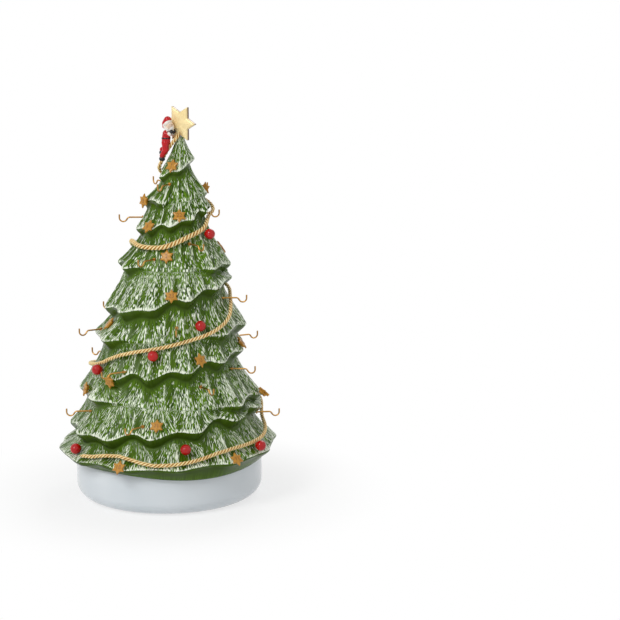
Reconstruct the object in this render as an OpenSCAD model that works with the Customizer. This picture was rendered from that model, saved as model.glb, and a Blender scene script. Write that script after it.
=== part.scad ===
// Advent calendar tree: a glazed fir that turns on a round base, with a hook and a number star for each day.
// Millimetres. The origin is the centre of the base's underside, +Z is up and -Y is the front.
// Azimuths are in degrees about the trunk: 0 is the front, 90 is +X.

/* [Base] */
// Diameter of the base drum
base_d = 205; // [198:1:212]
// Height of the drum's deck above the table
base_h = 50; // [46:1:60]
// Wall of the drum
base_wall = 5; // [4:0.5:7]
// Thickness of the drum's deck
deck_t = 6; // [5:0.5:8]
// Rounding of the drum's lower edge
foot_round = 15; // [9:1:18]
// Rounding of the drum's shoulder
shoulder_round = 8; // [5.5:0.5:9]
// Diameter of the opening under the drum
floor_opening_d = 158; // [140:1:160]
// Width of the ledge that the floor cover is bonded to
floor_ledge = 4; // [2:0.5:5]
// Thickness of the floor cover
cover_t = 2.5; // [2:0.25:3]
// Thickness of the felt under the cover
felt_t = 1.5; // [1.25:0.25:2.5]
// Gap between the drum's lower rim and the table
rim_gap = 1; // [0.5:0.25:1.25]

/* [Turntable] */
// Diameter of the spindle's shoulder
spindle_d = 10; // [9:0.5:12]
// Radial running clearance of the spindle in its bush
running_fit = 0.05; // [0.03:0.01:0.09]
// Wall of the deck bush
bush_wall = 2; // [1.5:0.25:3]
// Diameter of the bush's flange
bush_flange_d = 24; // [20:1:30]
// Thickness of the bush's flange
bush_flange_t = 1.5; // [1:0.25:2]
// Mean diameter of the glide ring
glide_d = 150; // [120:1:170]
// Width of the glide ring
glide_w = 12; // [8:1:16]
// Thickness of the glide ring
glide_t = 3; // [2.5:0.25:4]
// Thickness of the foot disc that closes the tree
foot_t = 5; // [4:0.5:8]
// Diameter of the spindle's head
head_d = 18; // [16:1:24]
// Height of the spindle's head
head_h = 5; // [4:0.5:8]
// Diameter of the spindle's thread
thread_d = 8; // [6:0.5:8.5]
// Diameter of the retaining washer
washer_d = 26; // [22:1:32]
// Thickness of the retaining washer
washer_t = 2; // [1.5:0.25:3]
// Width of the nut across its flats
nut_flats = 13; // [12:0.5:17]
// Height of the nut
nut_h = 6.5; // [5:0.5:8]
// Play between the washer and the deck
end_play = 1; // [0.5:0.25:1.5]

/* [Tree] */
// Height of the tree from its hem to its tip
tree_h = 351; // [330:1:370]
// How far the widest boughs reach past the drum
overhang = 19.5; // [17:0.5:24]
// How far the tip leans to the right
tree_lean = 17; // [0:0.5:20]
// Radius of the blunt tip
tip_r = 4; // [3.5:0.25:5]
// How far the hem hangs below the deck
hem_drop = 5; // [3:0.5:8]
// Radial gap between the hem and the drum
hem_gap = 3; // [2:0.25:4]
// Thickness of the hem's rim
hem_t = 5; // [4:0.5:6]
// Height of the waves along the hem
hem_wave = 3; // [0:0.5:3.5]
// Width of the ledge inside the hem that rests on the foot disc
hem_ledge = 8.5; // [6:0.5:10]

/* [Hooks] */
// Diameter of the hooks' wire
wire_d = 1.6; // [1.2:0.1:2]
// Depth of a hook's stem in the tree's wall
hook_embed = 4; // [3:0.25:5]
// Free length of a hook's stem
hook_stem = 14; // [11:0.5:16]
// Inner radius of a hook's crook
hook_crook = 3.4; // [3:0.1:4]
// Inner radius of the bend before the crook
hook_bend = 2.2; // [1.5:0.1:3]
// Angle of that bend below the stem
hook_dip = 55; // [40:1:65]
// Length of the straight drop into the crook
hook_drop = 2; // [1:0.25:4]
// Length of a hook's upright end
hook_tip = 3.6; // [2:0.2:5]
// Diameter of the collar at a hook's root
collar_d = 3.6; // [3:0.1:4.5]
// Thickness of the collar
collar_t = 1.6; // [1.2:0.1:2.2]

/* [Ornaments] */
// Diameter of the garland's rope
rope_d = 5; // [4:0.25:6]
// Diameter of a bauble
bauble_d = 11.5; // [8:0.5:12]
// Diameter of a number star over its points
number_star_d = 16; // [12:0.5:18]
// Thickness of a number star
number_star_t = 1.5; // [1:0.25:2.5]
// Diameter of the star on the tip over its points
top_star_d = 41; // [36:1:48]
// Thickness of the top star at its rim
top_star_rim = 4.4; // [4:0.2:6]
// Thickness of the top star at its middle
top_star_mid = 8; // [7:0.2:10]
// Diameter of the pin that holds the top star
star_pin_d = 2.4; // [2:0.1:2.8]
// Height of the climbing figure
figure_h = 48; // [40:1:52]

/* [Hidden] */
$fn = 64;
number_star_waist = 0.6;
top_star_waist = 0.58;
top_star_turn = -34;
seat_gap = 0.25;
bond_gap = 0.05;
hook_days = 24;
wire_lap = 0.2;         // the straight lengths of a hook lap over its bends by this
lap_swell = 0.1;        // and are this much thicker

base_r = base_d/2;
floor_z = felt_t + cover_t;
cover_r = floor_opening_d/2 + floor_ledge;
bush_d = spindle_d + 2*running_fit + 2*bush_wall;
foot_z = base_h + glide_t;
ledge_z = foot_z + foot_t;
shoulder_z = base_h - deck_t - end_play;
washer_z = shoulder_z - washer_t;
nut_z = washer_z - nut_h;
thread_end = 3;
star_pin_depth = 12;
star_pin_in_star = 7;
figure_drawn_h = 48;
figure_turn = -22;
figure_at = [-14.7, -3.5, -25.5];

hem_z = base_h - hem_drop;
hem_r = base_r + hem_gap;
tip_z = hem_z + tree_h;
tree_r = base_r + overhang;
foot_r = hem_r - seat_gap;
// The notch between the top star's two lower points rides on the rim of the blunt tip.
star_foot_z = tip_z + tip_r*(sin(60) - top_star_waist)/cos(60) + seat_gap;
top_star_z = star_foot_z + top_star_d/2*top_star_waist;
star_pin_h = star_pin_depth + star_foot_z - tip_z + star_pin_in_star;

// Rings of boughs from the top down, sculpted on a tree with its hem and tip at these heights.
// Each gives its height, tilt, reach, number of boughs, azimuth of a ridge, undercut, lift between boughs,
// notch between boughs, and the azimuths where it dies out into the face.
sculpt_span = [45, 396];
rings = [
    [363, 10, 20.5, 5, 8, 6, 5, 0.12, []],
    [330, 4, 38, 6, -24, 7, 5, 0.12, [20, 55]],
    [308, 11, 41.5, 10, -5, 8, 5, 0.1, []],
    [258, 0, 64, 10, 84, 10, 5, 0.08, [0, 180]],
    [228, 17, 71, 11, 19, 12, 7, 0.1, []],
    [186, 5, 85, 10, 87, 12, 5, 0.08, [0, 180]],
    [153, 13, 87, 12, 18, 12, 7, 0.09, [-90]],
    [115, -4, 102, 10, 90, 10, 5, 0.08, [0, 180]],
    [92, 13, 108, 13, 21.5, 12, 7, 0.08, []],
    [57, 2, 122, 12, 9, 5, 3, 0.03, []],
];
tilt_azimuth = 105;     // side towards which a ring's tilt raises it
least_notch = 0.25;     // depth of the shallowest notch between two boughs, as a share of its ring's own
notch_step = 0.618;     // from notch to notch the depth steps by this share of its range, and wraps round
spread = 0.32;          // outward growth of a bough for each millimetre that it hangs lower
fade_from = 24;         // a ring is gone within this angle of where it dies out
fade_to = 62;           // and is whole again beyond this one
face_power = 1.4;       // flare of a face towards its edge
least_face = 5;         // least height of a face
undercut_drop = 0.9;
crease = 0.3;
lean_power = 1.3;
hem_waves = 3;
hem_wave_at = -35;
columns = 120;
face_steps = [0, 0.55, 1];
cavity_top = [8, 338];  // radius and height of the top of the hollow, on the sculpted tree
cavity_steps = 4;

rise = tree_h/(sculpt_span[1] - sculpt_span[0]);
reach = tree_r/rings[len(rings) - 1][2];

// Hooks: azimuth and height of the root on the sculpted tree, and the azimuth that the stem points to.
hooks = [
    [-132, 345, -147], [-24, 347, -26], [150, 336, 150], [-84, 309, -88], [138, 309, 104], [178, 284, 178],
    [26, 285, 40], [-26, 269, -38], [-150, 240, -150], [71, 223, 92], [-116, 204, -116], [165, 208, 165],
    [8, 199, 2], [-80, 187, -62], [116, 169, 116], [-122, 147, -122], [66, 147, 84], [-34, 152, -60],
    [28, 136, 36], [172, 136, 172], [-62, 103, -84], [-160, 106, -160], [-13, 99, -42], [88, 91, 98],
];

// Number stars: azimuth and height on the sculpted tree.
number_stars = [
    [-22, 366], [120, 337], [-70, 328], [8, 315], [-41, 303], [165, 300], [-130, 286], [-8, 272],
    [110, 272], [2, 233], [170, 238], [-68, 195], [-145, 190], [80, 171], [27, 165], [130, 150],
    [-43, 141], [-70, 124], [-178, 105], [80, 105], [-4, 100], [41, 61], [-22, 58], [150, 64],
];

// Route of the garland down the tree: angle wound from the front, and height on the sculpted tree.
garland_route = [
    [0, 401], [42, 394], [76, 387], [90, 377], [97, 367], [122, 358], [140, 350], [290, 306], [307, 300],
    [343, 291], [369, 283], [383, 281], [404, 281], [450, 283], [646, 219], [660, 208], [669, 200],
    [690, 190], [716, 182], [750, 173], [770, 164], [778, 155], [970, 100], [985, 84], [1000, 76],
    [1015, 72], [1049, 72], [1058, 66], [1067, 65], [1084, 61], [1091, 64], [1104, 71], [1113, 66],
    [1126, 63], [1130, 60],
];
garland_step = 6;
garland_sides = 6;
garland_soften = 18;    // the rope rounds the corners of its route over this angle
garland_bridge = 6;     // and bridges hollows narrower than this

// Baubles: angle along the garland, and the side: above it (1), below it (-1) or past its end (0).
baubles = [
    [200, -1], [304, -1], [500, -1], [590, 1], [690, 1], [730, -1], [779, -1], [860, -1], [930, 1],
    [1020, -1], [1067, 1], [1137, 0],
];

function hook_name(day) = str("hook_", day < 10 ? "0" : "", day);

// Places on the sculpted tree, scaled to this one.
function up(h) = hem_z + (h - sculpt_span[0])*rise;
function lean_x(z) = tree_lean*pow(max(0, (z - ledge_z)/(tip_z - ledge_z)), lean_power);
function polar(a, r, z) = [lean_x(z) + r*sin(a), -r*cos(a), z];
function azimuth(p) = atan2(p.x - lean_x(p.z), -p.y);
function radius(p) = norm([p.x - lean_x(p.z), p.y]);

// Helpers for the boughs.
function ease(from, to, x) = let (t = max(0, min(1, (x - from)/(to - from)))) t*t*(3 - 2*t);
function turn_between(a, b) = abs(a - b - 360*round((a - b)/360));
// Depth of the notches of ring k at an azimuth: 0 on the boughs' crests, up to 1 between two boughs.
function notch(k, a) =
    let (n = rings[k][3],
         w = n*(a - rings[k][4])/360,
         turn = notch_step*((floor(w) + n*n) % n + k))
    (least_notch + (1 - least_notch)*(turn - floor(turn)))*(1 - cos(360*w))/2;
function life(fades, a) = min([1, for (f = fades) ease(fade_from, fade_to, turn_between(a, f))]);

// Edge of ring k at an azimuth: radius, height, undercut and how much of the ring is left there.
// Its face flares out from root and starts at top, where the ring above tucks in.
function edge(k, a, root, top) =
    let (g = rings[k],
         below = rings[min(k + 1, len(rings) - 1)],
         live = life(g[8], a),
         valley = notch(k, a),
         raised = rise*cos(a - tilt_azimuth),
         z = min(up(g[0]) + g[1]*raised + live*rise*g[6]*valley, top[1] - least_face),
         bough = reach*g[2]*(1 - g[7]*valley) + spread*(up(g[0]) - z),
         run_on = (root[1] - z)/(root[1] - up(below[0]) - below[1]*raised),
         plain = root[0] + (reach*below[2] - root[0])*pow(run_on, face_power),
         r = max(top[0] + 1, plain + live*(bough - plain)))
    [r, z, crease + live*reach*g[5]*(1 - 0.55*valley), live];

function tuck(e) = [e[0] - e[2], e[1] - undercut_drop*e[2]];
function face_rows(root, top, e) = [for (t = face_steps) let (z = top[1] + (e[1] - top[1])*t)
    [root[0] + (e[0] - root[0])*pow((root[1] - z)/(root[1] - e[1]), face_power), z]];
function rim_z(a) = hem_z + hem_wave*cos(hem_waves*(a - hem_wave_at));

// Outline of the tree at one azimuth, from the tip to the hem: radius and height.
// Where a ring dies out, the next face keeps the root of the face above, so that the two run on as one.
function outline(a) = concat(
    [for (k = 0, root = [tip_r, tip_z], top = root, e = edge(0, a, root, top); k < len(rings);
          top = tuck(e), root = root + e[3]*(top - root), k = k + 1,
          e = k < len(rings) ? edge(k, a, root, top) : e)
        each face_rows(root, top, e)],
    [[hem_r + hem_t, rim_z(a)]]);

// Surface of the tree at a height: radius, point and outward normal.
function skin_r(a, z) = lookup(z, [for (p = outline(a)) [p[1], p[0]]]);
function skin(a, z) = polar(a, skin_r(a, z), z);
function unit(v) = v/norm(v);
function skin_normal(a, z, step) =
    let (da = step/skin_r(a, z)*180/PI)
    unit(cross(skin(a + da, z) - skin(a - da, z), skin(a, z + step) - skin(a, z - step)));

// Line of the hollow inside the tree.
cavity_foot = [hem_r - hem_ledge, ledge_z];
cavity_peak = [reach*cavity_top[0], up(cavity_top[1])];
function cavity(t) = (1 - t)*cavity_foot + t*cavity_peak;
function inside(a) = concat(
    [[hem_r, rim_z(a)], [hem_r, ledge_z]],
    [for (i = [0 : cavity_steps]) cavity(i/cavity_steps)]);

// Faces between two neighbouring columns of points, which start at here and at next.
function strip(here, next, rows) = [for (i = [0 : rows - 2])
    each [[here + i, next + i, next + i + 1], [here + i, next + i + 1, here + i + 1]]];

module shell_body() {
    azimuths = [for (j = [0 : columns - 1]) 360*j/columns];
    grid = [for (a = azimuths) [for (p = concat(outline(a), inside(a))) polar(a, p[0], p[1])]];
    rows = len(grid[0]);
    tip = columns*rows;
    peak = tip + 1;
    poles = [[lean_x(tip_z), 0, tip_z], [lean_x(cavity_peak[1]), 0, cavity_peak[1]]];
    faces = [for (j = [0 : columns - 1])
        let (here = j*rows, next = ((j + 1) % columns)*rows)
        each concat(
            [[tip, next, here], [here + rows - 1, next + rows - 1, peak]],
            strip(here, next, rows))];
    polyhedron(concat([for (column = grid) each column], poles), faces);
}

module at_hook(h) {
    translate(skin(h[0], up(h[1]))) rotate([0, 0, h[2] - 90]) children();
}

// Hole for a hook's stem, with a seat for its collar.
module hook_seat() {
    collar_seat = collar_t/2;
    rotate([0, 90, 0]) {
        translate([0, 0, -hook_embed])
            cylinder(d = wire_d + lap_swell + 2*bond_gap, h = hook_embed + hook_stem);
        translate([0, 0, -collar_seat])
            cylinder(d = collar_d + 2*bond_gap, h = collar_seat + hook_stem);
    }
}

module tree_shell() {
    color("#4F7A2E") difference() {
        shell_body();
        for (h = hooks) at_hook(h) hook_seat();
        star_pin_body(bond_gap);
    }
}

// A hook drawn outwards along +X from its root, as round wire bent in one plane.
module hook_wire() {
    bend_r = hook_bend + wire_d/2;
    crook_r = hook_crook + wire_d/2;
    bend_end = [hook_stem + bend_r*sin(hook_dip), bend_r*(cos(hook_dip) - 1)];
    crook_start = bend_end + hook_drop*[cos(hook_dip), -sin(hook_dip)];
    crook = crook_start + crook_r*[sin(hook_dip), cos(hook_dip)];
    rotate([0, 90, 0]) translate([0, 0, -hook_embed]) wire_rod(hook_embed + hook_stem + wire_lap);
    rotate([0, 90, 0]) translate([0, 0, -collar_t/2]) cylinder(d = collar_d, h = collar_t);
    wire_arc([hook_stem, -bend_r], bend_r, 90 - hook_dip, hook_dip);
    translate([bend_end.x, 0, bend_end.y]) rotate([0, 90 + hook_dip, 0])
        translate([0, 0, -wire_lap]) wire_rod(hook_drop + 2*wire_lap);
    wire_arc(crook, crook_r, -90 - hook_dip, 90 + hook_dip);
    translate([crook.x + crook_r, 0, crook.y - wire_lap]) wire_rod(hook_tip + wire_lap);
}

module wire_rod(l) {
    cylinder(d = wire_d + lap_swell, h = l);
}

module wire_arc(centre, r, from, sweep) {
    translate([centre.x, 0, centre.y]) rotate([90, 0, 0]) rotate([0, 0, from])
        rotate_extrude(angle = sweep) translate([r, 0]) circle(d = wire_d);
}

module hook(day) {
    color("#B5803A") at_hook(hooks[day - 1]) hook_wire();
}

// Drum, cover and felt.
module base_drum() {
    color("#DDE3E8") difference() {
        rotate_extrude() drum_profile();
        translate([0, 0, base_h - deck_t - 1]) cylinder(d = bush_d + 2*bond_gap, h = deck_t + 2);
    }
}

module drum_profile() {
    inner_r = base_r - base_wall;
    lip_z = rim_gap + base_wall;
    difference() {
        rounded_block(base_r, rim_gap, base_h, foot_round, shoulder_round);
        rounded_block(inner_r, lip_z, base_h - deck_t, foot_round - base_wall, shoulder_round - base_wall);
        square([floor_opening_d/2, lip_z + 1]);
        square([cover_r + bond_gap, floor_z]);
    }
}

// Half section of a round block with one rounding at its foot and another at its shoulder.
module rounded_block(r, z0, z1, foot, shoulder) {
    arc = [for (a = [-90 : 6 : 0]) a];
    polygon(concat(
        [[0, z0]],
        [for (a = arc) [r - foot + foot*cos(a), z0 + foot + foot*sin(a)]],
        [for (a = arc) [r - shoulder + shoulder*cos(a + 90), z1 - shoulder + shoulder*sin(a + 90)]],
        [[0, z1]]));
}

module base_cover() {
    color("#8A8F94") translate([0, 0, felt_t]) cylinder(r = cover_r, h = cover_t);
}

module base_felt() {
    color("#3F4A3A") cylinder(r = cover_r - floor_ledge, h = felt_t);
}

// Turntable.
module tube(d, bore, h) {
    difference() {
        cylinder(d = d, h = h);
        translate([0, 0, -1]) cylinder(d = bore, h = h + 2);
    }
}

module deck_bush() {
    bore = spindle_d + 2*running_fit;
    color("#E8E4D8") union() {
        translate([0, 0, base_h - deck_t]) tube(bush_d, bore, deck_t + bush_flange_t);
        translate([0, 0, base_h]) tube(bush_flange_d, bore, bush_flange_t);
    }
}

module glide_ring() {
    color("#F0EEE6") translate([0, 0, base_h]) tube(glide_d + glide_w, glide_d - glide_w, glide_t);
}

module foot_disc() {
    color("#6B5A40") translate([0, 0, foot_z]) tube(2*foot_r, spindle_d + 2*bond_gap, foot_t);
}

module spindle() {
    color("#B8BCC0") union() {
        translate([0, 0, ledge_z]) cylinder(d = head_d, h = head_h);
        translate([0, 0, shoulder_z]) cylinder(d = spindle_d, h = ledge_z - shoulder_z);
        translate([0, 0, nut_z - thread_end]) cylinder(d = thread_d, h = shoulder_z - nut_z + thread_end);
    }
}

module spindle_washer() {
    color("#C8CCD0") translate([0, 0, washer_z]) tube(washer_d, thread_d + 2*bond_gap, washer_t);
}

module spindle_nut() {
    color("#A8ACB0") translate([0, 0, nut_z]) difference() {
        cylinder(d = nut_flats/cos(30), h = nut_h, $fn = 6);
        translate([0, 0, -1]) cylinder(d = thread_d + 2*bond_gap, h = nut_h + 2);
    }
}

// Stars.
function star_points(d, waist) = [for (i = [0 : 11]) (i % 2 == 0 ? 1 : waist)*d/2*[cos(30*i), sin(30*i)]];

module at_top_star() {
    translate([lean_x(tip_z), 0, top_star_z]) rotate([0, 0, top_star_turn]) rotate([90, 0, 0]) children();
}

module star_body(grow) {
    rim = star_points(top_star_d + 2*grow, top_star_waist);
    n = len(rim);
    points = concat(
        [for (side = [1, -1], p = rim) [p.x, p.y, side*(top_star_rim/2 + grow)]],
        [for (side = [1, -1]) [0, 0, side*(top_star_mid/2 + grow)]]);
    faces = [for (i = [0 : n - 1]) let (j = (i + 1) % n) each [
        [j, i, 2*n], [n + i, n + j, 2*n + 1], [i, j, n + j], [i, n + j, n + i]]];
    at_top_star() polyhedron(points, faces);
}

module top_star() {
    color("#F0D48A") difference() {
        star_body(0);
        star_pin_body(bond_gap);
    }
}

module star_pin_body(gap) {
    translate([lean_x(tip_z), 0, tip_z - star_pin_depth])
        cylinder(d = star_pin_d + 2*gap, h = star_pin_h + gap);
}

module star_pin() {
    color("#B8BCC0") star_pin_body(0);
}

// A flat star bonded on the tree: turned to the surface, and lifted until all of its back is clear of it.
function star_back(d, waist) = [for (s = [0.1 : 0.1 : 1]) let (rim = star_points(d*s, waist))
    for (i = [0 : 11]) each [rim[i], (rim[i] + rim[(i + 1) % 12])/2]];
function star_lift(places, n, lift, passes) =
    let (short = max([for (p = places) let (q = p + lift*n) skin_r(azimuth(q), q.z) - radius(q)]))
    passes == 0 || short <= 0 ? lift : star_lift(places, n, lift + short*norm([n.x, n.y]), passes - 1);

module at_star(place) {
    z = up(place[1]);
    at = skin(place[0], z);
    n = skin_normal(place[0], z, number_star_d/4);
    tip = acos(n.z);
    swing = atan2(n.y, n.x);
    across = [-sin(swing), cos(swing), 0];
    down = cross(across, n);
    places = [for (p = star_back(number_star_d, number_star_waist)) at + p.x*down + p.y*across];
    translate(at + (star_lift(places, n, 0, 6) + seat_gap)*n) rotate([0, tip, swing]) children();
}

module number_stars_row(row) {
    color("#D9962E") for (i = [6*row : 6*row + 5])
        at_star(number_stars[i]) linear_extrude(number_star_t)
            polygon(star_points(number_star_d, number_star_waist));
}

// Garland: its route softened, and its radius taken from the surface that it lies on.
function garland_z(u) = let (s = garland_soften/2)
    up((lookup(u - s, garland_route) + 2*lookup(u, garland_route) + lookup(u + s, garland_route))/4);
function rope_rest(a, z) = let (r = rope_d/2 + seat_gap)
    max([for (da = [-4, 0, 4]) let (line = [for (p = outline(a + da)) [p[1], p[0]]])
        for (s = [-1 : 0.5 : 1]) lookup(z + s*r, line) + r*sqrt(1 - s*s)]);
garland_end = garland_route[len(garland_route) - 1][0];
garland_margin = ceil(garland_bridge/garland_step);
garland_rests = [for (i = [-2*garland_margin : garland_end/garland_step + 2*garland_margin])
    rope_rest(-i*garland_step, garland_z(i*garland_step))];
garland_hulls = [for (i = [garland_margin : len(garland_rests) - 1 - garland_margin])
    max([for (k = [-garland_margin : garland_margin]) garland_rests[i + k]])];
function mean(values) = values*[for (v = values) 1]/len(values);
garland_line = [for (i = [0 : len(garland_hulls) - 1 - 2*garland_margin])
    let (r = mean([for (k = [0 : 2*garland_margin]) garland_hulls[i + k]]))
    polar(-i*garland_step, r, garland_z(i*garland_step))];

function rope_ring(i, d) =
    let (n = len(garland_line),
         along = unit(garland_line[min(i + 1, n - 1)] - garland_line[max(i - 1, 0)]),
         side = unit(cross(along, [0, 0, 1])),
         over = cross(side, along))
    [for (k = [0 : garland_sides - 1]) let (a = 360*k/garland_sides)
        garland_line[i] + d/2*(cos(a)*side + sin(a)*over)];

module rope(d) {
    n = len(garland_line);
    m = garland_sides;
    body = [for (i = [0 : n - 2], k = [0 : m - 1]) let (here = i*m + k, beside = i*m + (k + 1) % m)
        each [[here, beside + m, here + m], [here, beside, beside + m]]];
    ends = [for (k = [1 : m - 2]) each [[0, k + 1, k], [(n - 1)*m, (n - 1)*m + k, (n - 1)*m + k + 1]]];
    polyhedron([for (i = [0 : n - 1]) each rope_ring(i, d)], concat(body, ends));
}

module garland() {
    color("#C98A2C") rope(rope_d);
    n = len(garland_line);
    one_turn = 360/garland_step;
    echo(least_gap_of_the_garland_to_itself = min([for (i = [0 : n - 1], k = [i + one_turn/2 : n - 1])
        norm(garland_line[i] - garland_line[k])]) - rope_d);
}

// A bauble touches the surface beside the garland, and is moved along it until it is clear of the rope.
function from_segment(p, a, b) =
    let (t = max(0, min(1, (p - a)*(b - a)/((b - a)*(b - a))))) norm(p - a - t*(b - a));
function from_garland(p) =
    min([for (i = [0 : len(garland_line) - 2]) from_segment(p, garland_line[i], garland_line[i + 1])]);
function bauble_on(a, z) =
    let (at = skin(a, z),
         n = skin_normal(a, z, bauble_d/4),
         ball = bauble_d/2 + seat_gap,
         turn = ball/radius(at)*180/PI,
         out = max([for (s = [-1 : 0.1 : 1]) let (line = [for (p = outline(a + s*turn)) [p[1], p[0]]])
             for (h = [z - 1.4*ball : ball/10 : z + 1.4*ball])
                 let (d = polar(a + s*turn, lookup(h, line), h) - at, square = ball*ball - d*d + pow(d*n, 2))
                 square < 0 ? 0 : d*n + sqrt(square)]))
    at + out*n;
function bauble_centre(place, shift, passes) =
    let (centre = bauble_on(-place[0], garland_z(place[0]) + place[1]*shift),
         short = (rope_d + bauble_d)/2 + seat_gap - from_garland(centre))
    passes == 0 || short <= 0 ? centre : bauble_centre(place, shift + short, passes - 1);

module all_baubles() {
    color("#C8141A") for (place = baubles)
        translate(bauble_centre(place, (rope_d + bauble_d)/2, 6)) sphere(d = bauble_d);
}

// Figure that climbs the tip: drawn 48 high, facing +X, and cut clear of the garland and the top star.
module blob(from, r0, to, r1) {
    hull() {
        translate(from) sphere(r = r0, $fn = 14);
        translate(to) sphere(r = r1, $fn = 14);
    }
}

module leg(side, step_up) {
    boot = [-5.2, 3*side, 2.1 + step_up];
    knee = [0.3, 3*side, 12 + step_up/2];
    blob(boot, 2.1, boot + [2.4, 0, -0.3], 1.8);
    blob(boot + [0.4, 0, 2], 2.2, knee, 2.9);
    blob(knee, 2.9, [-0.8, 2.4*side, 20], 3.4);
}

module arm(side) {
    shoulder = [0.2, 4.4*side, 30];
    elbow = [4.2, 4.6*side, 28.4];
    blob(shoulder, 2.4, elbow, 2.1);
    blob(elbow, 2.1, [7.4, 3*side, 31.6], 2.2);
}

module figure_body() {
    leg(-1, 0);
    leg(1, 6);
    arm(-1);
    arm(1);
    blob([-0.8, 0, 21], 4.8, [0, 0, 29], 4.4);
    blob([-0.6, 0, 24], 5, [-0.5, 0, 25], 5);
    blob([2.4, 0, 37.4], 5.2, [2.9, 0, 38.6], 5.2);
    blob([5.2, 0, 36], 3.4, [4.6, 0, 31.6], 2.6);
    blob([0, 0, 40], 4.7, [1.6, 0, 43.8], 4.2);
    blob([-2.6, 0, 39.4], 2.4, [-2.8, 0, 36.4], 1.8);
}

module climbing_figure() {
    color("#C8141A") difference() {
        translate([lean_x(tip_z) + figure_at.x, figure_at.y, tip_z + figure_at.z])
            rotate([0, 0, figure_turn]) scale(figure_h/figure_drawn_h) figure_body();
        rope(rope_d + 2*seat_gap);
        star_body(seat_gap);
    }
}

base_drum();
base_cover();
base_felt();
deck_bush();
glide_ring();
tree_shell();
foot_disc();
spindle();
spindle_washer();
spindle_nut();
top_star();
star_pin();
climbing_figure();
garland();
all_baubles();  // baubles
for (row = [0 : 3]) number_stars_row(row);
for (day = [1 : hook_days]) hook(day);
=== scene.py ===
"""Looks of the advent calendar tree: glazes, paint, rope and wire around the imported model.

The frame is in metres. Shapes here are worked out in millimetres and turned to metres when a mesh is made.
Azimuths are in degrees about the trunk: 0 is the front (-Y), 90 is +X.
"""
import math

import bmesh
import bpy
import numpy as np
from mathutils import Matrix, Vector


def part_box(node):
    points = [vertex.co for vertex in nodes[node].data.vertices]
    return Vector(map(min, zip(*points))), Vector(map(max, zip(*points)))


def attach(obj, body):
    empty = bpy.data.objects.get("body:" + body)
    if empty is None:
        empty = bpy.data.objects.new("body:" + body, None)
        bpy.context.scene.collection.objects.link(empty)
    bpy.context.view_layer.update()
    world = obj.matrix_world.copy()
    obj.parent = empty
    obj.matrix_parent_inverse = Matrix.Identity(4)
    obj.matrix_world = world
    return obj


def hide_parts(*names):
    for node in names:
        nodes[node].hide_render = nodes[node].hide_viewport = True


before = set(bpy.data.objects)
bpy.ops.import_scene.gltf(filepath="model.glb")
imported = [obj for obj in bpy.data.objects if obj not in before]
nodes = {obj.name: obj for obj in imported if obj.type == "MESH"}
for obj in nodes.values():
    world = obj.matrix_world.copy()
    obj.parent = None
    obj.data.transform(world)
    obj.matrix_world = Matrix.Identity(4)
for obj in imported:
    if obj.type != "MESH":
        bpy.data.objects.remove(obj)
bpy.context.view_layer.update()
MM = 0.001

# Sizes taken from the frame, in millimetres
drum_low, drum_high = (corner/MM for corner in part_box("base_drum"))
disc_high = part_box("foot_disc")[1]/MM
TIP_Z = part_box("tree_shell")[1].z/MM
LEDGE_Z = disc_high.z
BASE_R = drum_high.x
BASE_H = drum_high.z
BASE_Z = drum_low.z
SEAT_GAP = 0.25
HEM_R = disc_high.x + SEAT_GAP

# The tree's form, as the model has it: rings of boughs from the top down
# height, tilt, reach, boughs, azimuth of a ridge, undercut, lift, notch, azimuths where the ring dies out
RINGS = [
    (363, 10, 20.5, 5, 8, 6, 5, 0.12, ()),
    (330, 4, 38, 6, -24, 7, 5, 0.12, (20, 55)),
    (308, 11, 41.5, 10, -5, 8, 5, 0.1, ()),
    (258, 0, 64, 10, 84, 10, 5, 0.08, (0, 180)),
    (228, 17, 71, 11, 19, 12, 7, 0.1, ()),
    (186, 5, 85, 10, 87, 12, 5, 0.08, (0, 180)),
    (153, 13, 87, 12, 18, 12, 7, 0.09, (-90,)),
    (115, -4, 102, 10, 90, 10, 5, 0.08, (0, 180)),
    (92, 13, 108, 13, 21.5, 12, 7, 0.08, ()),
    (57, 2, 122, 12, 9, 5, 3, 0.03, ()),
]
TIP_R = 4
HEM_Z = 45                   # height of the lowest rim
HEM_T = 5                    # wall at the rim
HEM_LEDGE = 8.5              # width of the ledge that rests on the foot disc
HEM_WAVE, HEM_WAVES, HEM_WAVE_AT = 3, 3, -35
TREE_LEAN, LEAN_POWER = 17, 1.3
TILT_AZIMUTH = 105           # the rings are raised on this side
LEAST_NOTCH, NOTCH_STEP = 0.25, 0.618
SPREAD = 0.32                # a bough that hangs lower reaches out further by this share
FADE_FROM, FADE_TO = 24, 62  # degrees from where a ring dies out to where it is whole
FACE_POWER = 1.4             # flare of a face from its root to its edge
LEAST_FACE = 5
UNDERCUT_DROP = 0.9
UNDERCUT_VALLEY = 0.45       # share of the undercut that is left in the valleys between boughs
CREASE = 0.3
CAVITY_TOP, CAVITY_TOP_R = 338, 8

# Garland: angle wound from the front, and height
GARLAND_ROUTE = [
    (0, 401), (42, 394), (76, 387), (90, 377), (97, 367), (122, 358), (140, 350),
    (290, 306), (307, 300), (343, 291), (369, 283), (383, 281), (404, 281), (450, 283),
    (646, 219), (660, 208), (669, 200), (690, 190), (716, 182), (750, 173), (770, 164), (778, 155),
    (970, 100), (985, 84), (1000, 76), (1015, 72), (1049, 72), (1058, 66), (1067, 65), (1084, 61),
    (1091, 64), (1104, 71), (1113, 66), (1126, 63), (1130, 60),
]
GARLAND_SOFTEN = 18          # degrees over which the route's corners are rounded
GARLAND_BRIDGE = 6           # degrees over which the rope bridges the gaps between boughs, each way
ROPE_D = 5


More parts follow.
